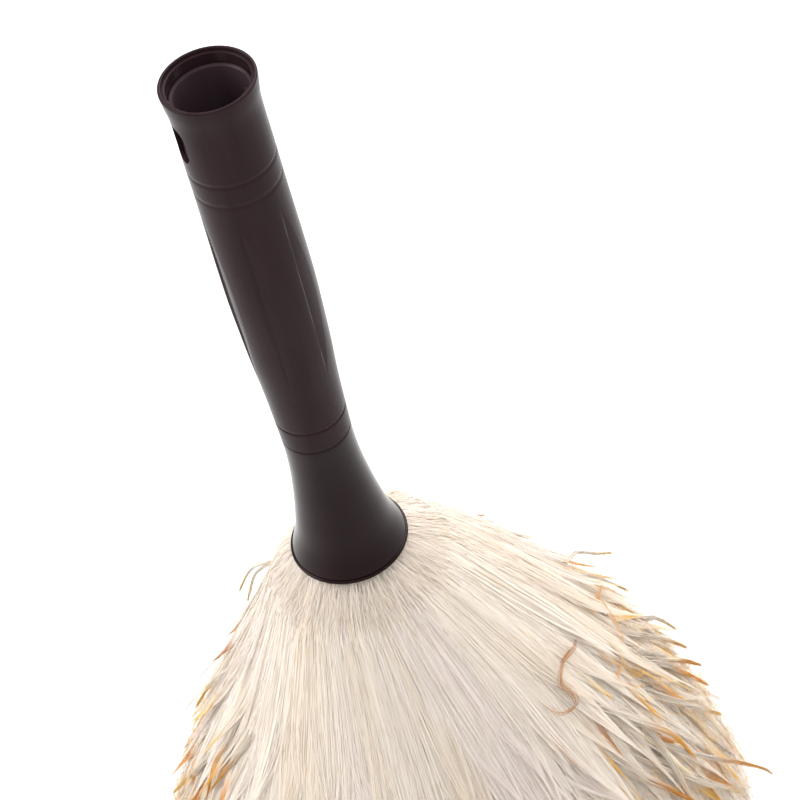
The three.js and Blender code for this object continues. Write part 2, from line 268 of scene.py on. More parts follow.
def ribbons(name, paths, width, outward, roll, u, share):
    """Flat tapering fibres along paths, an array (fibre, knot, 3), each rolled about its length from
    facing outward. Their shading leans outward too, as in a smooth coat."""
    count, knots = paths.shape[:2]
    along = unit(np.gradient(paths, axis=1))
    flat = unit(outward - along * np.sum(outward * along, axis=-1, keepdims=True) + TINY)
    facing = flat * np.cos(roll)[:, None, None] + np.cross(along, flat) * np.sin(roll)[:, None, None]
    half = np.cross(along, facing) * width[..., None] / 2
    pairs = np.stack([paths - half, paths + half], axis=2)[:, :-1]
    points = np.concatenate([pairs.reshape(count, -1, 3), paths[:, -1:]], axis=1)
    row = 2 * np.arange(knots - 2)[:, None]
    last = 2 * (knots - 2)
    pattern = np.append((row + [0, 1, 3, 2]).ravel(), [last, last + 1, last + 2])
    sizes = np.append(np.full(knots - 2, 4), 3)
    knot_of = np.append(np.repeat(np.arange(knots - 1), 2), knots - 1)
    made = repeated(name, points, pattern, sizes, knot_of, u, share)
    normals = unit(LEAN_OUT * outward + (1 - LEAN_OUT) * facing)[:, knot_of]
    made.data.normals_split_custom_set_from_vertices(normals.reshape(-1, 3))
    return made


# --- materials ----------------------------------------------------------------------------------


def new_material(name, **inputs):
    """A material, its node tree and its Principled shader, with the shader's plain values set.
    A socket's name is written with _ for a space."""
    made = bpy.data.materials.new(name)
    made.use_nodes = True
    shader = made.node_tree.nodes["Principled BSDF"]
    for key, value in inputs.items():
        shader.inputs[key.replace("_", " ")].default_value = value
    return made, made.node_tree, shader


def node(tree, kind, inputs=None, **settings):
    """A shader node; each input is a value or the socket that feeds it."""
    made = tree.nodes.new("ShaderNode" + kind)
    for key, value in settings.items():
        setattr(made, key, value)
    for key, value in (inputs or {}).items():
        if isinstance(value, bpy.types.NodeSocket):
            tree.links.new(value, made.inputs[key])
        else:
            made.inputs[key].default_value = value
    return made


def ramp(tree, fac, stops):
    """A colour ramp from (place, colour) stops."""
    made = node(tree, "ValToRGB", {"Fac": fac})
    line = made.color_ramp.elements
    while len(line) < len(stops):
        line.new(0.5)
    for element, (at, colour) in zip(line, stops, strict=True):
        element.position = at
        element.color = (*colour, 1)
    return made.outputs["Color"]


def places(tree, scale=(1, 1, 1)):
    """Object coordinates, stretched."""
    where = node(tree, "TexCoord").outputs["Object"]
    return node(tree, "Mapping", {"Vector": where, "Scale": scale}).outputs["Vector"]


def noise(tree, where, scale, detail=4.0, rough=0.55):
    inputs = {"Vector": where, "Scale": scale, "Detail": detail, "Roughness": rough}
    return node(tree, "TexNoise", inputs).outputs["Fac"]


def remap(tree, value, low, high, from_low=0.3, from_high=0.7):
    inputs = {"Value": value, "From Min": from_low, "From Max": from_high, "To Min": low, "To Max": high}
    return node(tree, "MapRange", inputs).outputs["Result"]


def bump(tree, height, strength, distance):
    made = node(tree, "Bump", {"Height": height, "Strength": strength, "Distance": distance})
    return made.outputs["Normal"]


def maths(tree, operation, a, b=0.0, clamp=False):
    made = node(tree, "Math", {0: a, 1: b}, operation=operation, use_clamp=clamp)
    return made.outputs[0]


def feed(tree, shader, **sockets):
    for key, value in sockets.items():
        tree.links.new(value, shader.inputs[key.replace("_", " ")])


def plastic(name, dark, light, rough, grain, shine):
    """Dark moulded plastic with a fine spark-eroded grain, faint flow marks and dull, handled patches."""
    made, tree, shader = new_material(name, Specular_IOR_Level=shine)
    where = places(tree)
    flow = noise(tree, places(tree, (1, 1, 0.15)), 90, 3)
    handled = noise(tree, where, 45, 5, 0.6)
    fine = noise(tree, where, 2600, 2)
    colour = ramp(tree, flow, [(0.3, dark), (0.75, light)])
    roughness = remap(tree, handled, *rough)
    feed(tree, shader, Base_Color=colour, Roughness=roughness, Normal=bump(tree, fine, grain, 0.06 * MM))
    return made


def metal(name, dark, light, rough, turning):
    """Turned or plated metal: lathe rings, and a cloudy film."""
    made, tree, shader = new_material(name, Metallic=1.0)
    film = noise(tree, places(tree), 160, 5, 0.65)
    rings = noise(tree, places(tree, (0.02, 0.02, 1)), 2500, 2)
    feed(tree, shader, Base_Color=ramp(tree, film, [(0.3, dark), (0.7, light)]),
         Roughness=remap(tree, film, *rough), Normal=bump(tree, rings, turning, 0.05 * MM))
    return made


def wood(name):
    """Bare turned beech: grain along the dowel, and short flecks in its roughness."""
    made, tree, shader = new_material(name)
    grain = noise(tree, places(tree, (1, 1, 0.06)), 420, 6, 0.6)
    flecks = noise(tree, places(tree, (1, 1, 0.2)), 1500, 2)
    colour = ramp(tree, grain, [(0.25, (0.34, 0.19, 0.09)), (0.5, (0.52, 0.33, 0.17)),
                                (0.8, (0.64, 0.45, 0.26))])
    feed(tree, shader, Base_Color=colour, Roughness=remap(tree, flecks, 0.55, 0.8),
         Normal=bump(tree, grain, 0.5, 0.1 * MM))
    return made


def hide(name):
    """Tanned sheepskin, flesh side out: pale suede with a pebbled grain."""
    made, tree, shader = new_material(name, Sheen_Weight=0.3, Sheen_Roughness=0.5)
    where = places(tree)
    pebbles = node(tree, "TexVoronoi", {"Vector": where, "Scale": 900}).outputs["Distance"]
    cloud = noise(tree, where, 120, 5, 0.6)
    colour = ramp(tree, cloud, [(0.3, (0.50, 0.38, 0.23)), (0.7, (0.70, 0.58, 0.41))])
    feed(tree, shader, Base_Color=colour, Roughness=remap(tree, cloud, 0.75, 0.95),
         Normal=bump(tree, pebbles, 0.6, 0.2 * MM))
    return made


def thread(name):
    """Waxed linen thread."""
    made, tree, shader = new_material(name)
    twist = noise(tree, places(tree, (1, 1, 3)), 1800, 3)
    colour = ramp(tree, twist, [(0.3, (0.42, 0.33, 0.20)), (0.7, (0.62, 0.52, 0.36))])
    feed(tree, shader, Base_Color=colour, Roughness=remap(tree, twist, 0.5, 0.75),
         Normal=bump(tree, twist, 0.5, 0.1 * MM))
    return made


WHITE = (0.95, 0.88, 0.80)
CREAM = (0.93, 0.84, 0.73)
LILAC = (0.93, 0.85, 0.795)
BODIES = [CREAM, CREAM, WHITE, WHITE, CREAM, WHITE, LILAC, LILAC]  # by column of the strands' map
TONES = len(BODIES)
COLUMN_EDGE, COLUMN_SPAN = 0.08, 0.84  # the part of a column that tints use
TIPS = [(0.0, (0.94, 0.88, 0.70)), (0.3, (0.93, 0.77, 0.40)), (0.6, (0.93, 0.62, 0.15)),
        (0.85, (0.86, 0.42, 0.06)), (1.0, (0.55, 0.23, 0.07))]  # by tint: how weathered a lock is
TIP_STARTS = 0.88  # share of a lock's length at which its weathered colour starts
TIP_SOONER = 0.14  # how much sooner on the most weathered lock
TIP_FADE = 0.10
FULL_TINT = 0.55  # tint from which the weathered colour shows in full
LIT_THROUGH = 0.25  # the share of a fibre's light that comes through it


def strand_wool(name):
    """Wool strands: white, cream or faintly lilac along most of a lock, weathered golden to brown at
    its end. U picks the lock's tone and how weathered it is, V is the share of the lock's length."""
    made, tree, shader = new_material(name, Roughness=0.6, Specular_IOR_Level=0.2, Sheen_Weight=0.2,
                                      Sheen_Roughness=0.4)
    split = node(tree, "SeparateXYZ", {"Vector": node(tree, "UVMap", uv_map=STRAND_MAP).outputs["UV"]})
    across, along = maths(tree, "MULTIPLY", split.outputs["X"], TONES), split.outputs["Y"]
    past_edge = maths(tree, "SUBTRACT", maths(tree, "FRACT", across), COLUMN_EDGE)
    tint = maths(tree, "DIVIDE", past_edge, COLUMN_SPAN, clamp=True)
    body = ramp(tree, maths(tree, "DIVIDE", maths(tree, "FLOOR", across), TONES),
                [((i - 0.5) / TONES if i else 0.0, colour) for i, colour in enumerate(BODIES)])
    body.node.color_ramp.interpolation = "CONSTANT"
    tip = ramp(tree, tint, TIPS)
    sooner = maths(tree, "MULTIPLY", maths(tree, "POWER", tint, 3.0), TIP_SOONER)
    starts = maths(tree, "SUBTRACT", TIP_STARTS, sooner)
    reached = maths(tree, "DIVIDE", maths(tree, "SUBTRACT", along, starts), TIP_FADE, clamp=True)
    shown = maths(tree, "MULTIPLY", reached, remap(tree, tint, 0.0, 1.0, 0.0, FULL_TINT))
    mixed = node(tree, "Mix", {"Factor": shown, 6: body, 7: tip}, data_type="RGBA").outputs[2]
    feed(tree, shader, Base_Color=mixed)
    through = node(tree, "BsdfTranslucent", {"Color": mixed})
    both = node(tree, "MixShader", {0: LIT_THROUGH, 1: shader.outputs[0], 2: through.outputs[0]})
    tree.links.new(both.outputs[0], tree.nodes["Material Output"].inputs["Surface"])
    return made


def matted_wool(name):
    """The dense wool under the locks."""
    made, tree, shader = new_material(name, Sheen_Weight=0.4, Sheen_Roughness=0.5)
    strands = noise(tree, places(tree, (1, 1, 0.12)), 500, 5, 0.6)
    cloud = noise(tree, places(tree), 40, 3)
    colour = ramp(tree, cloud, [(0.3, CREAM), (0.7, WHITE)])
    feed(tree, shader, Base_Color=colour, Roughness=remap(tree, strands, 0.7, 0.95),
         Normal=bump(tree, strands, 0.5, 0.6 * MM))
    return made


# --- handle and ferrule -------------------------------------------------------------------------


def groove(z):
    """How deep the ring grooves are at a height."""
    depth = np.zeros_like(z)
    for at in GROOVE_HEIGHTS:
        depth += GROOVE_DEPTH * (1 - smoothstep(np.abs(z - at), 0.1 * GROOVE_HALF_WIDTH, GROOVE_HALF_WIDTH))
    return depth


def fluted(azimuth, z):
    """How deep the pointed flutes are at a place on the grip: steep on the left, rising to the right."""
    depth = 0
    for i in range(FLUTES):
        edge = FLUTE_AZIMUTH + 2 * math.pi * i / FLUTES
        off = ((azimuth - edge + math.pi) % (2 * math.pi) - math.pi) * MOUTH_R
        along = np.clip((z - FLUTE_Z) / FLUTE_HALF_LENGTH, -1, 1)
        across = np.where(off > 0, off / FLUTE_WIDTH, -off / FLUTE_STEP)
        depth = np.maximum(depth, FLUTE_DEPTH * (1 - along**2 - across))
    return depth


def grip_shape(azimuth, radius, z):
    outside = (radius > SOCKET_R + 0.1 * MM) | (z < SOCKET_FLOOR_Z) & (radius > CHAMBER_R + 0.5 * MM)
    away = groove(z) + fluted(azimuth + 0 * radius, z)
    body = (z > SEAM_Z + 1 * MM) & (z < MOUTH_Z - 2 * MM)
    return radius - np.where(outside & body, away, 0), z


def slot_bar():
    """The stadium-shaped bar along X that opens the hang slot."""
    half = SLOT_WIDTH / 2
    straight = SLOT_LENGTH / 2 - half
    turns = np.linspace(0, math.pi, 17)
    top = np.stack([half * np.cos(turns), straight + half * np.sin(turns)], axis=-1)
    outline = np.concatenate([top, -top])
    count = len(outline)
    points = np.concatenate([
        np.stack([np.full(count, x), outline[:, 0], outline[:, 1] + SLOT_Z], axis=-1)
        for x in (-2 * MOUTH_R, 2 * MOUTH_R)
    ])
    i = np.arange(count)
    k = (i + 1) % count
    sides = np.stack([i, k, k + count, i + count], axis=-1).ravel()
    loops = np.concatenate([sides, i[::-1], i + count])
    sizes = np.concatenate([np.full(count, 4), [count, count]])
    return mesh_object("slot_bar", points, loops, sizes)


def rounded(radius, z, corner, outer):
    """A rounded top edge in a counter-clockwise outline, on the body's outside or in its bore."""
    turn = np.linspace(0, math.pi / 2, 6)
    if outer:
        edge = radius - corner + corner * np.cos(turn), z - corner + corner * np.sin(turn)
    else:
        edge = radius + corner - corner * np.sin(turn), z - corner + corner * np.cos(turn)
    return np.stack(edge, axis=-1)


def grip():
    """The hollow grip with its grooves, flutes and hang slot."""
    outside = spline([
        (12.45, 339.7), (12.7, 350), (13.2, 365), (14.05, 380), (14.6, 395), (15, 410), (15, 425),
        (14.8, 440), (14.6, 455), (14.55, 470), (14.4, 482), (14.5, 490), (15.2, 496), (15.5, 499),
    ], 300) * MM
    outer_rim = rounded(MOUTH_R, MOUTH_Z, 0.5 * MM, outer=True)
    inner_rim = np.concatenate([
        rounded(LEDGE_R, MOUTH_Z, 0.3 * MM, outer=False),
        [(LEDGE_R, MOUTH_Z - LEDGE_DEPTH)],
        rounded(SOCKET_R, MOUTH_Z - LEDGE_DEPTH, 0.3 * MM, outer=False),
    ])
    web_z, foot_z = SOCKET_FLOOR_Z - WEB, SEAM_Z - 0.1 * MM
    inside = [(SOCKET_R, MOUTH_Z - 6 * MM), (SOCKET_R, SOCKET_FLOOR_Z), (VENT_R, SOCKET_FLOOR_Z),
              (VENT_R, web_z), (CHAMBER_R, web_z), (CHAMBER_R, foot_z), (NECK_R - 0.3 * MM, foot_z)]
    outline = np.concatenate([outside, outer_rim, inner_rim, inside])
    made = turned("grip", outline, 288, grip_shape)
    cut(made, slot_bar())
    sharpen(made, 35)
    return made


def sleeve_shape(azimuth, radius, z):
    """Raises the rounded pole thread on the sleeve's bore."""
    rise = (z - POLE_PITCH * azimuth / (2 * math.pi)) / POLE_PITCH
    off = np.abs(rise - np.round(rise)) * POLE_PITCH
    ridge = POLE_RIDGE * np.sqrt(np.clip(1 - (off / (1.1 * MM)) ** 2, 0, 1))
    low, high = POLE_THREAD
    fade = smoothstep(z, low, low + 2 * MM) * (1 - smoothstep(z, high - 2 * MM, high))
    return radius - np.where(radius < SLEEVE_BORE_R + 0.1 * MM, ridge * fade, 0), z


def sleeve():
    bore = [(SLEEVE_BORE_R, z) for z in np.linspace(SLEEVE_TOP_Z - 0.5 * MM, SLEEVE_BOTTOM_Z, 110)]
    outside = [(SLEEVE_R, SLEEVE_BOTTOM_Z), (SLEEVE_R, SLEEVE_TOP_Z),
               (SLEEVE_BORE_R + 0.5 * MM, SLEEVE_TOP_Z)]
    made = turned("socket_sleeve", outside + bore, 96, sleeve_shape)
    cut(made, slot_bar())
    sharpen(made, 35)
    return made


def bell():
    """The flared ferrule with its rolled lip."""
    flare = spline([(20.85, 279.0), (17.75, 288.5), (15.6, 300), (14.15, 310), (13.05, 320), (12.5, 330),
                    (12.45, 338.4)], 60) * MM
    bead = 0.75 * MM
    turns = np.linspace(-0.5 * math.pi, 0.6 * math.pi, 14)
    middle = (LIP_R - bead, LIP_Z + bead)
    lip = np.stack([middle[0] + bead * np.cos(turns), middle[1] + bead * np.sin(turns)], axis=-1)
    top = [(NECK_R - 0.05 * MM, BELL_TOP_Z - 0.2 * MM), (NECK_R - 0.35 * MM, BELL_TOP_Z + 0.1 * MM),
           (CHAMBER_R - 0.4 * MM, BELL_TOP_Z + 0.1 * MM), (CHAMBER_R - 0.4 * MM, BELL_TOP_Z + 0.9 * MM),
           (BELL_HOLE_R, BELL_TOP_Z + 0.9 * MM), (BELL_HOLE_R, BELL_TOP_Z - BELL_WEB)]
    under = flare[flare[:, 1] < BELL_TOP_Z - BELL_WEB - 1 * MM][::-1] - (BELL_WALL, 0)
    roof = [(under[0][0], BELL_TOP_Z - BELL_WEB)]
    inner_lip = [(LIP_R - BELL_WALL - 0.7 * MM, LIP_Z + 0.4 * MM)]
    made = turned("bell", np.concatenate([lip, flare, top, roof, under, inner_lip]), 160)
    sharpen(made, 40)
    return made


# --- pelt ---------------------------------------------------------------------------------------


def pelt_shape(azimuth, radius, z):
    """Sinks the spiral seam where the strip's edges meet, and roughens the flesh side."""
    rise = (z - PELT_BOTTOM_Z - PELT_STRIP * azimuth / (2 * math.pi)) / PELT_STRIP
    off = np.abs(rise - np.round(rise)) * PELT_STRIP
    sunk = SEAM_DEPTH * np.exp(-((off / (1.1 * MM)) ** 2))
    wrinkle = 0.12 * MM * np.sin(5 * azimuth + 260 * z) * np.sin(3 * azimuth - 410 * z)
    return radius - np.where(radius > PELT_R - 0.4 * MM, sunk + wrinkle + 0.12 * MM, 0), z


def pelt():
    outside = [(PELT_R, z) for z in np.linspace(PELT_BOTTOM_Z, PELT_TOP_Z, 200)]
    made = turned("pelt_strip", outside + [(PELT_BORE_R, PELT_TOP_Z), (PELT_BORE_R, PELT_BOTTOM_Z)], 72,
                  pelt_shape)
    sharpen(made, 50)
    return made


def binding():
    """Waxed two-ply thread wound round the top of the pelt."""
    low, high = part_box("binding_thread")
    pitch = (high.z - low.z - 2 * BINDING_R) / BINDING_TURNS
    turn = np.linspace(0, 2 * math.pi * BINDING_TURNS, 420)
    radius = PELT_R + 0.3 * MM + BINDING_R
    plies = []
    for start in (0, math.pi):
        ply = turn * 16 + start
        r = radius + 0.28 * MM * np.cos(ply)
        z = low.z + BINDING_R + pitch * turn / (2 * math.pi) + 0.28 * MM * np.sin(ply)
        plies.append(place(turn, r, z))
    paths = np.array(plies)
    return tubes("binding", paths, np.full(paths.shape[:2], 0.33 * MM), 6)


# --- wool ---------------------------------------------------------------------------------------

FULL = even_steps(spline(FULL_SIDE, 400)) * MM
LEAN = even_steps(spline(LEAN_SIDE, 400)) * MM


def wool_surface(t, azimuth):
    """(radius, height) of the wool's outside, t from 0 at the lip to 1 at the floor."""
    fullness = 0.5 + 0.5 * np.cos(azimuth - FULL_AZIMUTH)
    steps = np.linspace(0, 1, len(FULL))
    sides = [np.stack([np.interp(t, steps, side[:, k]) for k in (0, 1)], axis=-1) for side in (LEAN, FULL)]
    return sides[0] + (sides[1] - sides[0]) * fullness[..., None]


def outward_at(t, azimuth):
    """(radius, height) of the direction away from the wool's outside."""
    along = unit(wool_surface(t + 0.01, azimuth) - wool_surface(t - 0.01, azimuth))
    return np.stack([-along[..., 1], along[..., 0]], axis=-1)


def over_surface(t, azimuth, lift):
    """(radius, height) of a place above the wool's outside."""
    return wool_surface(t, azimuth) + outward_at(t, azimuth) * lift[..., None]


def coat_normal(t, azimuth):
    away = outward_at(t, azimuth)
    return place(azimuth, away[..., 0], away[..., 1])


def across_at(azimuth):
    """The level direction across the wool at an azimuth."""
    return np.stack([np.cos(azimuth), np.sin(azimuth), 0 * azimuth], axis=-1)


def column(tone, tint):
    """U of a lock: its tone picks one of the colour columns, its tint the place across the column."""
    return (np.floor(tone * TONES) + COLUMN_EDGE + COLUMN_SPAN * np.clip(tint, 0, 1)) / TONES


def waves(rng, shape, s, low, high):
    """One slow wave for every fibre."""
    turns, phase = rng.uniform(low, high, shape)[..., None], rng.random(shape)[..., None]
    return np.sin(2 * math.pi * (turns * s + phase))


def discs(rng, shape):
    """Where each fibre lies in its lock: across it, and over it."""
    angle, out = rng.uniform(0, 2 * math.pi, shape), np.sqrt(rng.random(shape))
    return (out * np.cos(angle))[..., None], (out * np.sin(angle))[..., None]


def tapered(paths, thickness):
    """The fibres' thickness at each knot. It also lifts the paths off the floor."""
    paths[..., 2] = np.maximum(paths[..., 2], FLOOR_GAP)
    return np.broadcast_to(thickness * (1 - 0.55 * np.linspace(0, 1, paths.shape[1]) ** 2), paths.shape[:2])


def each(values):
    """One value for each lock, ready to meet the locks' fibres and their knots."""
    return values[:, None, None]


def locks(name, rng, azimuth, starts, tips, look, count, knots, thickness):
    """Locks of wool, each a bunch of fibres that leaves the fleece, swells, lies along the outside and
    ends in one point. Those of the top tier start on the pelt, under the ferrule's lip."""
    shape = (len(azimuth), count)
    across, over = discs(rng, shape)
    length = 1 - look["ragged"] * rng.random(shape) ** 2
    s = (1 - (1 - np.linspace(0, 1, knots)) ** 1.3) * length[..., None]
    t = each(starts) + each(tips - starts) * s
    turn = each(azimuth) + 0 * s
    half = each(rng.uniform(*look["width"], len(azimuth)) * MM)
    swell = (1 - 0.97 * smoothstep(s, look["gather"], 1)) * smoothstep(t, -0.10, 0.10)
    frizz = look["frizz"] * MM * (0.3 + s)
    side = across * half * swell + frizz * waves(rng, shape, s, 1, 2.5)
    side += look["wave"] * MM * s * np.sin(2 * math.pi * (1.4 * s + each(rng.random(len(azimuth)))))
    side += each(rng.normal(0, look["sweep"], len(azimuth))) * MM * s**3
    lift = over * half * look["flat"] * swell + frizz * waves(rng, shape, s, 1, 2.5)
    lift += each(rng.uniform(-1, 0.6, len(azimuth))) * look["layer"] * MM * np.minimum(1, 1.6 * s)
    flick = np.where(rng.random(len(azimuth)) < 0.12, rng.uniform(5, 10, len(azimuth)),
                     rng.normal(1.6, 1.9, len(azimuth)))
    lift += each(flick) * MM * s**5 - look["buried"] * MM * (1 - s) ** 1.5
    where = over_surface(t, turn, lift)
    if look["rooted"]:
        where = ROOT + (where - ROOT) * smoothstep(s, 0, look["rooted"])[..., None]
    points = place(turn, where[..., 0], where[..., 1])
    points += across_at(turn) * side[..., None]

    tone = 0.5 + 0.26 * np.sin(3 * azimuth + 1) + 0.2 * np.sin(8 * azimuth)
    tone += rng.normal(0, 0.12, len(azimuth))
    tint = rng.random(len(azimuth)) ** look["pale"]
    tint = np.where(rng.random(len(azimuth)) < look["plain"], 0, tint)
    spread = np.clip(tint[:, None] + rng.uniform(-0.05, 0.05, shape), 0, 1)
    which = column(np.clip(tone, 0, 0.999)[:, None], spread).ravel()
    share = (1 - look["long"]) + look["long"] * s
    points = points.reshape(-1, knots, 3)
    roll = rng.normal(0, 0.5, len(points))
    outward = coat_normal(t, turn).reshape(-1, knots, 3)
    return ribbons(name, points, tapered(points, thickness), outward, roll, which, share.reshape(-1, knots))


def bunches(name, rng, given, long, loose, count, knots, thickness):
    """Ends of single locks, each along its own given list of places over the wool's outside.
    Long is the share of the lock's length that this is, loose how far its fibres wave."""
    paths, shares, which = [], [], []
    for tint, width, places_over in given:
        way = spline(places_over, knots)
        shape = (count,)
        across, over = discs(rng, shape)
        s = np.linspace(0, 1, knots) * (1 - 0.2 * rng.random(shape) ** 2)[:, None]
        steps = np.linspace(0, 1, knots)
        azimuth, t, lift = (np.interp(s, steps, way[:, k]) for k in range(3))
        azimuth = np.radians(azimuth)
        gather = width * MM * (1 - 0.97 * s) ** 0.8
        lift = lift * MM + over * gather * 0.6 + loose * waves(rng, shape, s, 1, 2)
        where = over_surface(t, azimuth, lift)
        side = across * gather + loose * waves(rng, shape, s, 1, 2)
        points = place(azimuth, where[..., 0], where[..., 1])
        paths.append(points + across_at(azimuth) * side[..., None])
        shares.append(1 - long + long * s)
        which.append(column(np.full(count, 0.05), np.full(count, tint)))
    paths, shares, which = (np.concatenate(parts) for parts in (paths, shares, which))
    return tubes(name, paths, tapered(paths, thickness) / 2, 3, which, shares)


def frizz(name, rng, count, knots, thickness):
    """Thin crimped golden hairs where the locks end."""
    azimuth, t = rng.uniform(0, 2 * math.pi, count), rng.uniform(0.34, 0.92, count)
    s = np.linspace(0, 1, knots)
    t = np.clip(t[:, None] + rng.uniform(0.06, 0.16, count)[:, None] * s, 0, 1)
    shape, crimp = (count,), rng.uniform(0.8, 2.6, count)[:, None] * MM * np.minimum(1, 3 * s)
    turn = azimuth[:, None] + rng.normal(0, 0.1, count)[:, None] * s
    turn += crimp * waves(rng, shape, s[None], 1.5, 3.5) / (80 * MM)
    lift = -2 * MM + rng.uniform(2, 7, count)[:, None] * MM * s
    lift += crimp * waves(rng, shape, s[None], 1.5, 3.5)
    where = over_surface(t, turn, lift)
    points = place(turn, where[..., 0], where[..., 1])
    which = column(rng.random(count) * 0.999, rng.uniform(0.25, 0.9, count))
    share = np.broadcast_to(0.72 + 0.28 * s, points.shape[:2])
    return tubes(name, points, tapered(points, thickness) / 2, 3, which, share)


def fuzz(name, rng, count, knots, thickness):
    """Loose single hairs that stand off the wool and round the ferrule's lip."""
    azimuth = rng.uniform(0, 2 * math.pi, count)
    t = rng.random(count) ** 1.3 * 0.8
    length = rng.uniform(0.03, 0.10, count)
    s = np.linspace(0, 1, knots)
    turn = azimuth[:, None] + rng.normal(0, 0.12, count)[:, None] * s / (1 + 8 * t[:, None])
    rise = rng.gamma(2.0, 1.1, count) * MM
    lift = -1.5 * MM + rise[:, None] * s**1.5 + 0.5 * MM * waves(rng, (count,), s[None], 0.5, 1.5)
    t = np.clip(t[:, None] + length[:, None] * s, 0.02, 1)
    where = over_surface(t, turn, lift)
    points = place(turn, where[..., 0], where[..., 1])
    which = column(rng.random(count) * 0.999, rng.random(count) ** 4)
    share = np.broadcast_to(0.55 + 0.4 * s, points.shape[:2])
    roll = rng.uniform(-1.4, 1.4, count)
    return ribbons(name, points, tapered(points, thickness), coat_normal(t, turn), roll, which, share)


# How the locks of a tier look. Widths and shifts are in mm, the rest are shares: ragged, how uneven
# the fibres' lengths are; gather, where the lock starts to narrow; wave, frizz and sweep, how far it
# waves, its fibres stray and its tip swings; flat, its thickness for its width; layer, how far locks
# differ in height; pale and plain, how few are weathered; buried, how deep it starts; rooted, the
# share that runs up to the pelt; long, the share of its length that this is
TOP = {"ragged": 0.2, "width": (4.5, 8), "gather": 0.62, "wave": 1.2, "frizz": 0.12, "sweep": 5,
       "flat": 0.04, "layer": 0.6, "pale": 0.9, "plain": 0.6, "buried": 0, "rooted": 0.2, "long": 1}
UNDER = TOP | {"plain": 0.2, "layer": 0.9, "frizz": 0.25, "width": (6, 10), "gather": 0.5, "flat": 0.2,
               "sweep": 6, "buried": 7, "rooted": 0, "long": 0.6}
LOWEST = UNDER | {"gather": 0.72, "width": (7, 11), "flat": 0.35}
TIERS = [
    # t of the tips of the tier's locks and of where they leave the fleece, its fleece's top on the pelt,
    # its pieces, and the locks in each
    {"tips": (0.36, 0.56), "leave": (0.0, 0.0), "top": 0.276, "pieces": 4, "locks": 110},
    {"tips": (0.45, 0.67), "leave": (0.16, 0.30), "top": 0.250, "pieces": 2, "locks": 130},
    {"tips": (0.56, 0.76), "leave": (0.30, 0.42), "top": 0.210, "pieces": 1, "locks": 160},
    {"tips": (0.65, 0.85), "leave": (0.40, 0.52), "top": 0.170, "pieces": 1, "locks": 160},
    {"tips": (0.75, 0.93), "leave": (0.50, 0.62), "top": 0.128, "pieces": 1, "locks": 160},
    {"tips": (0.90, 0.998), "leave": (0.58, 0.80), "top": 0.086, "pieces": 2, "locks": 150},
]
# Locks given one by one: how weathered, half width in mm, and the way of the lock's end as
# (azimuth in degrees, share of the surface from lip to floor, height over it in mm)
LAID = [
    (0.75, 3.4, [(42, 0.32, -3), (46, 0.385, 2), (49, 0.44, 4), (52, 0.50, 5), (51, 0.55, 6)]),
    (0.80, 1.3, [(48, 0.46, -1), (52, 0.54, 5), (58, 0.63, 9), (67, 0.77, 13)]),
    (0.80, 2.8, [(66, 0.38, -2), (71, 0.46, 3), (76, 0.55, 6), (81, 0.63, 8)]),
    (0.85, 2.2, [(66, 0.42, -2), (71, 0.49, 3), (73, 0.55, 5), (75, 0.62, 7)]),
    (0.65, 2.0, [(74, 0.40, -2), (78, 0.48, 3), (82, 0.55, 5), (86, 0.63, 7)]),
    (0.45, 2.2, [(86, 0.48, -2), (91, 0.56, 3), (94, 0.61, 6), (93, 0.66, 9)]),
    (0.60, 2.2, [(60, 0.44, -2), (64, 0.53, 3), (67, 0.59, 5), (70, 0.64, 6)]),
    (0.88, 2.6, [(35, 0.38, -2), (38, 0.46, 2), (41, 0.52, 4), (44, 0.58, 5)]),
    (0.45, 3.4, [(42, 0.44, -2), (47, 0.54, 3), (52, 0.62, 5), (56, 0.68, 6)]),
    (0.70, 2.6, [(53, 0.38, -2), (49, 0.47, 2), (43, 0.56, 4), (38, 0.64, 5)]),
    (0.40, 0.8, [(97, 0.38, 0), (101, 0.42, 7), (103, 0.455, 9), (103, 0.48, 11), (102, 0.51, 16)]),
    (0.55, 0.8, [(98, 0.42, -1), (100, 0.48, 3), (100, 0.53, 5), (99, 0.57, 7)]),
    (0.45, 0.4, [(-146, 0.12, -1), (-146, 0.155, 4), (-146, 0.185, 7), (-145, 0.245, 7)]),
    (0.35, 0.4, [(-146, 0.12, -1), (-146, 0.16, 3), (-146, 0.195, 4.5), (-146, 0.265, 2)]),
    (0.65, 1.6, [(-119, 0.24, -3), (-123, 0.31, 2), (-128, 0.375, 4), (-129, 0.445, 5)]),
    (0.60, 2.2, [(-102, 0.32, -3), (-107, 0.40, 2), (-111, 0.46, 4), (-119, 0.57, 5)]),
    (0.80, 1.8, [(-96, 0.22, -3), (-98, 0.28, 1), (-98, 0.33, 3), (-100, 0.38, 4), (-98, 0.44, 4)]),
    (0.75, 2.0, [(-84, 0.24, -3), (-88, 0.29, 1), (-93, 0.35, 3), (-99, 0.43, 4)]),
    (0.30, 2.2, [(-60, 0.24, -3), (-61, 0.30, 0), (-62, 0.36, 1), (-64, 0.42, 1)]),
]
CURLS = [
    (0.97, 1.6, [(61, 0.31, -2), (55, 0.30, 1), (46, 0.28, 2), (39, 0.285, 3), (39, 0.30, 4), (37, 0.32, 4),
                 (31, 0.305, 3), (30, 0.275, 2)]),
    (0.85, 0.5, [(96, 0.46, -1), (94, 0.455, 3), (82, 0.38, 4), (77, 0.38, 4), (73, 0.395, 4),
                 (67, 0.40, 3)]),
    (0.80, 1.0, [(60, 0.32, -2), (59, 0.36, 2), (60, 0.39, 3), (54, 0.375, 4), (56, 0.415, 4),
                 (60, 0.44, 3)]),
    (0.70, 0.8, [(66, 0.34, -2), (64, 0.38, 3), (60, 0.40, 4), (61, 0.43, 4), (66, 0.44, 4)]),
]
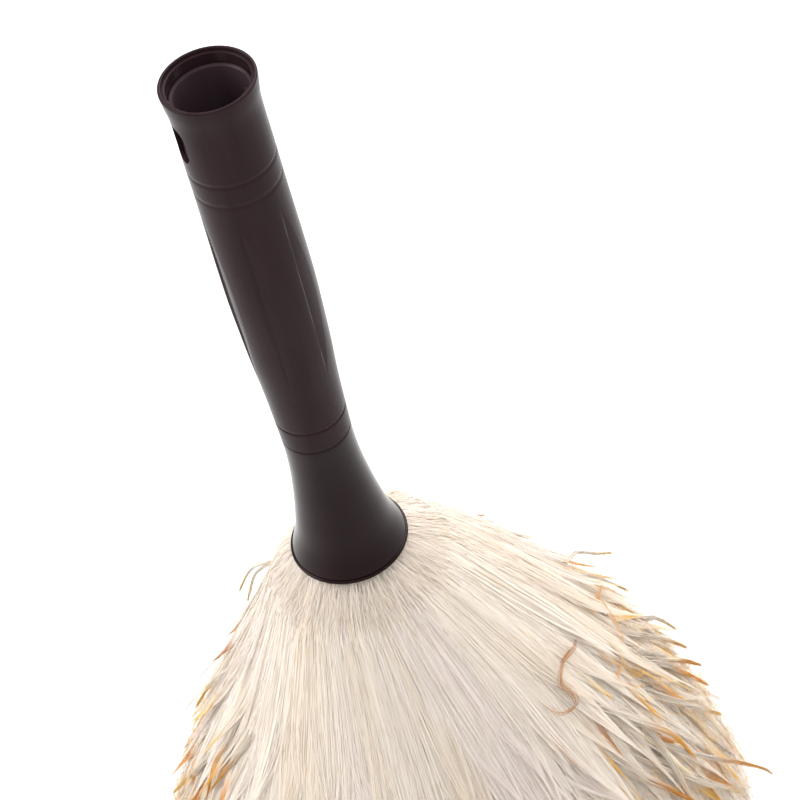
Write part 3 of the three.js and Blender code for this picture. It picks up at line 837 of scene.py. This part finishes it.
FLEECE_INSET = 2.2 * MM
WOOL_BORE_R = PELT_R + 1 * MM


def even_around(rng, count):
    """Azimuths spread evenly with a little disorder, in a random order."""
    azimuth = (np.arange(count) + rng.uniform(-0.4, 0.4, count)) * 2 * math.pi / count
    return rng.permutation(azimuth)


def tier_locks(rng, index):
    """The locks of one tier, in a few pieces."""
    tier, count = TIERS[index], TIERS[index]["locks"]
    look = {0: TOP, len(TIERS) - 1: LOWEST}.get(index, UNDER)
    knots = 9 if index else 11
    made = []
    for piece in range(tier["pieces"]):
        starts, tips = rng.uniform(*tier["leave"], count), rng.uniform(*tier["tips"], count)
        made.append(locks(f"locks_{index + 1}_{piece + 1}", rng, even_around(rng, count), starts, tips,
                          look, LOCK_FIBRES, knots, thickness=0.24 * MM))
    return made


def fleece(index):
    """The matted wool of one tier, a lumpy shell inside its locks; it stands for the CAD tier."""
    first, last = index == 0, index == len(TIERS) - 1
    t_start = 0.02 if first else TIERS[index - 1]["tips"][0]
    t_end = 1.0 if last else TIERS[index]["tips"][0]
    top_z = TIERS[index]["top"]
    bottom_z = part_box("pelt_end_patch")[0].z - 1 * MM if last else TIERS[index + 1]["top"]
    azimuth = np.linspace(0, 2 * math.pi, 144, endpoint=False)[:, None]
    t = np.linspace(t_end, t_start, 24)[None] + 0 * azimuth
    side = wool_surface(t, azimuth + 0 * t)
    inset = FLEECE_INSET + 4 * MM * (1 - smoothstep(t, 0, 0.2)) + 2 * MM * smoothstep(t, 0.2, 0.4)
    inset += 2 * MM * smoothstep(t, 0.45, 0.75) + 10 * MM * smoothstep(t, 0.78, 1)
    inset += 1 * MM * np.sin(17 * azimuth + 40 * t + index) * np.sin(11 * azimuth - 30 * t)
    side_r = np.maximum(side[..., 0] - inset, WOOL_BORE_R + 1 * MM)
    side_z = np.maximum(side[..., 1] - 0.45 * inset, 1.5 * MM)
    under = [(0, 1.5 * MM)] if last else [(WOOL_BORE_R, bottom_z)]
    over = [(WOOL_BORE_R, top_z)] + ([(WOOL_BORE_R, bottom_z), (0, bottom_z)] if last else [])
    columns = [[np.full_like(azimuth, point[k]) for point in under] + [side_k]
               + [np.full_like(azimuth, point[k]) for point in over]
               for k, side_k in enumerate((side_r, side_z))]
    radius, z = (np.concatenate(parts, axis=1) for parts in columns)
    outline = np.zeros((radius.shape[1], 2))
    return turned(f"fleece_{index + 1}", outline, len(azimuth), lambda *_: (radius, z))


# --- assembly -----------------------------------------------------------------------------------


def fit_out(piece, body, slot, look, *nodes):
    """Sets a piece's material and body, and hides the CAD nodes that it stands for. Its slot is not used.
    """
    piece.data.materials.clear()
    piece.data.materials.append(look)
    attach(piece, body)
    if nodes:
        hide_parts(*nodes)


def dress(look, *nodes):
    """Gives CAD nodes that stay in sight a material."""
    for name in nodes:
        for slot in frame["nodes"][name].material_slots:
            slot.material = look


GRIP = plastic("grip_plastic", (0.019, 0.009, 0.011), (0.028, 0.015, 0.018), (0.22, 0.3), 0.08, 0.07)
# The socket sleeve's plastic is reddish like the grip's, but made lighter as painted light in the shaded
# bore of the mouth.
SLEEVE_PLASTIC_PAINTED_LIGHT = plastic("sleeve_plastic", (0.044, 0.027, 0.032), (0.062, 0.040, 0.046), (0.3, 0.42), 0.15, 0.07)
BELL = plastic("bell_plastic", (0.008, 0.0012, 0.0016), (0.012, 0.0025, 0.003), (0.12, 0.18), 0.04, 0.15)
BRASS = metal("turned_brass", (0.50, 0.34, 0.12), (0.66, 0.48, 0.20), (0.22, 0.42), 0.5)
STEEL = metal("zinc_plate", (0.42, 0.42, 0.43), (0.62, 0.62, 0.64), (0.2, 0.4), 0.3)
HIDE = hide("sheepskin_hide")
WOOL = strand_wool("wool_strands")
MATTED = matted_wool("matted_wool")

fit_out(grip(), "handle", "grip_plastic", GRIP, "grip_shell")
fit_out(sleeve(), "handle", "sleeve_plastic", SLEEVE_PLASTIC_PAINTED_LIGHT, "pole_socket_sleeve")
fit_out(bell(), "ferrule", "bell_plastic", BELL, "bell_ferrule")
fit_out(pelt(), "head", "pelt", HIDE, "pelt_wrap")
fit_out(binding(), "head", "binding", thread("waxed_thread"), "binding_thread")
dress(BRASS, "thread_insert")
dress(STEEL, "threaded_spigot", "spigot_pin", "upper_tack_1", "upper_tack_2", "lower_tack_1",
      "lower_tack_2", "end_nail")
dress(wood("turned_beech"), "core_dowel")
dress(HIDE, "pelt_end_patch")

draw = np.random.default_rng(SEED)
for tier_index in range(len(TIERS)):
    fit_out(fleece(tier_index), "head", "wool", MATTED, f"wool_tier_{tier_index + 1}")
    for bunch in tier_locks(draw, tier_index):
        fit_out(bunch, "head", "wool", WOOL)
extras = [
    bunches("laid_locks", draw, LAID, long=0.36, loose=0.4 * MM, count=40, knots=16, thickness=0.3 * MM),
    bunches("curls", draw, CURLS, long=0.18, loose=0.8 * MM, count=12, knots=22, thickness=0.16 * MM),
    frizz("frizz_a", draw, count=1800, knots=18, thickness=0.2 * MM),
    frizz("frizz_b", draw, count=1800, knots=18, thickness=0.2 * MM),
    fuzz("loose_hairs", draw, count=14000, knots=8, thickness=0.16 * MM),
]
for extra in extras:
    fit_out(extra, "head", "wool", WOOL)


# --- stage --------------------------------------------------------------------------------------


LAMPS_AIM = Vector((0, 0, 0.25))
LAMPS = [
    # name, azimuth and elevation in degrees, distance and size in metres, watts, whether gloss shows it
    ("left_back", -120, 42, 1.5, 1.0, 14, True),
    ("right_back", 130, 45, 1.5, 1.0, 18, True),
    ("front_fill", -10, 52, 2, 1.5, 3.5, False),
    ("right_fill", 70, 35, 2, 1.5, 6, False),
]


def floor():
    half = 6
    mesh = bpy.data.meshes.new("floor")
    corners = [(-half, -half, 0), (half, -half, 0), (half, half, 0), (-half, half, 0)]
    mesh.from_pydata(corners, [], [(0, 1, 2, 3)])
    made = bpy.data.objects.new("floor", mesh)
    bpy.context.scene.collection.objects.link(made)
    pale, _, _ = new_material("pale_floor", Base_Color=(0.78, 0.78, 0.775, 1), Roughness=0.9,
                              Specular_IOR_Level=0.1)
    mesh.materials.append(pale)


def area_light(name, azimuth, elevation, distance, size, power, shines):
    lamp = bpy.data.lights.new(name, "AREA")
    lamp.shape = "DISK"
    lamp.size = size
    lamp.energy = power
    made = bpy.data.objects.new(name, lamp)
    a, e = math.radians(azimuth), math.radians(elevation)
    back = Vector((math.sin(a) * math.cos(e), -math.cos(a) * math.cos(e), math.sin(e)))
    made.location = LAMPS_AIM + back * distance
    made.rotation_mode = "QUATERNION"
    made.rotation_quaternion = (-back).to_track_quat("-Z", "Y")
    made.visible_camera = False
    made.visible_glossy = shines
    bpy.context.scene.collection.objects.link(made)


def world():
    made = bpy.data.worlds.new("studio")
    made.use_nodes = True
    background = made.node_tree.nodes["Background"]
    background.inputs["Color"].default_value = (1.0, 0.995, 0.985, 1)
    background.inputs["Strength"].default_value = 0.95
    bpy.context.scene.world = made


def camera():
    lens = bpy.data.cameras.new("camera")
    lens.lens = LENS
    lens.sensor_width = SENSOR
    lens.clip_start = 0.01
    made = bpy.data.objects.new("camera", lens)
    bpy.context.scene.collection.objects.link(made)
    out = place(np.float64(CAMERA_AZIMUTH), CAMERA_OUT, CAMERA_Z)
    made.location = Vector(out.tolist())
    look = (AIM - made.location).normalized()
    made.rotation_mode = "QUATERNION"
    level = look.to_track_quat("-Z", "Y")
    made.rotation_quaternion = level @ Quaternion((0, 0, 1), -ROLL)
    bpy.context.scene.camera = made


floor()
world()
camera()
for lamp_facts in LAMPS:
    area_light(*lamp_facts)
bpy.context.scene.view_settings.view_transform = "Standard"
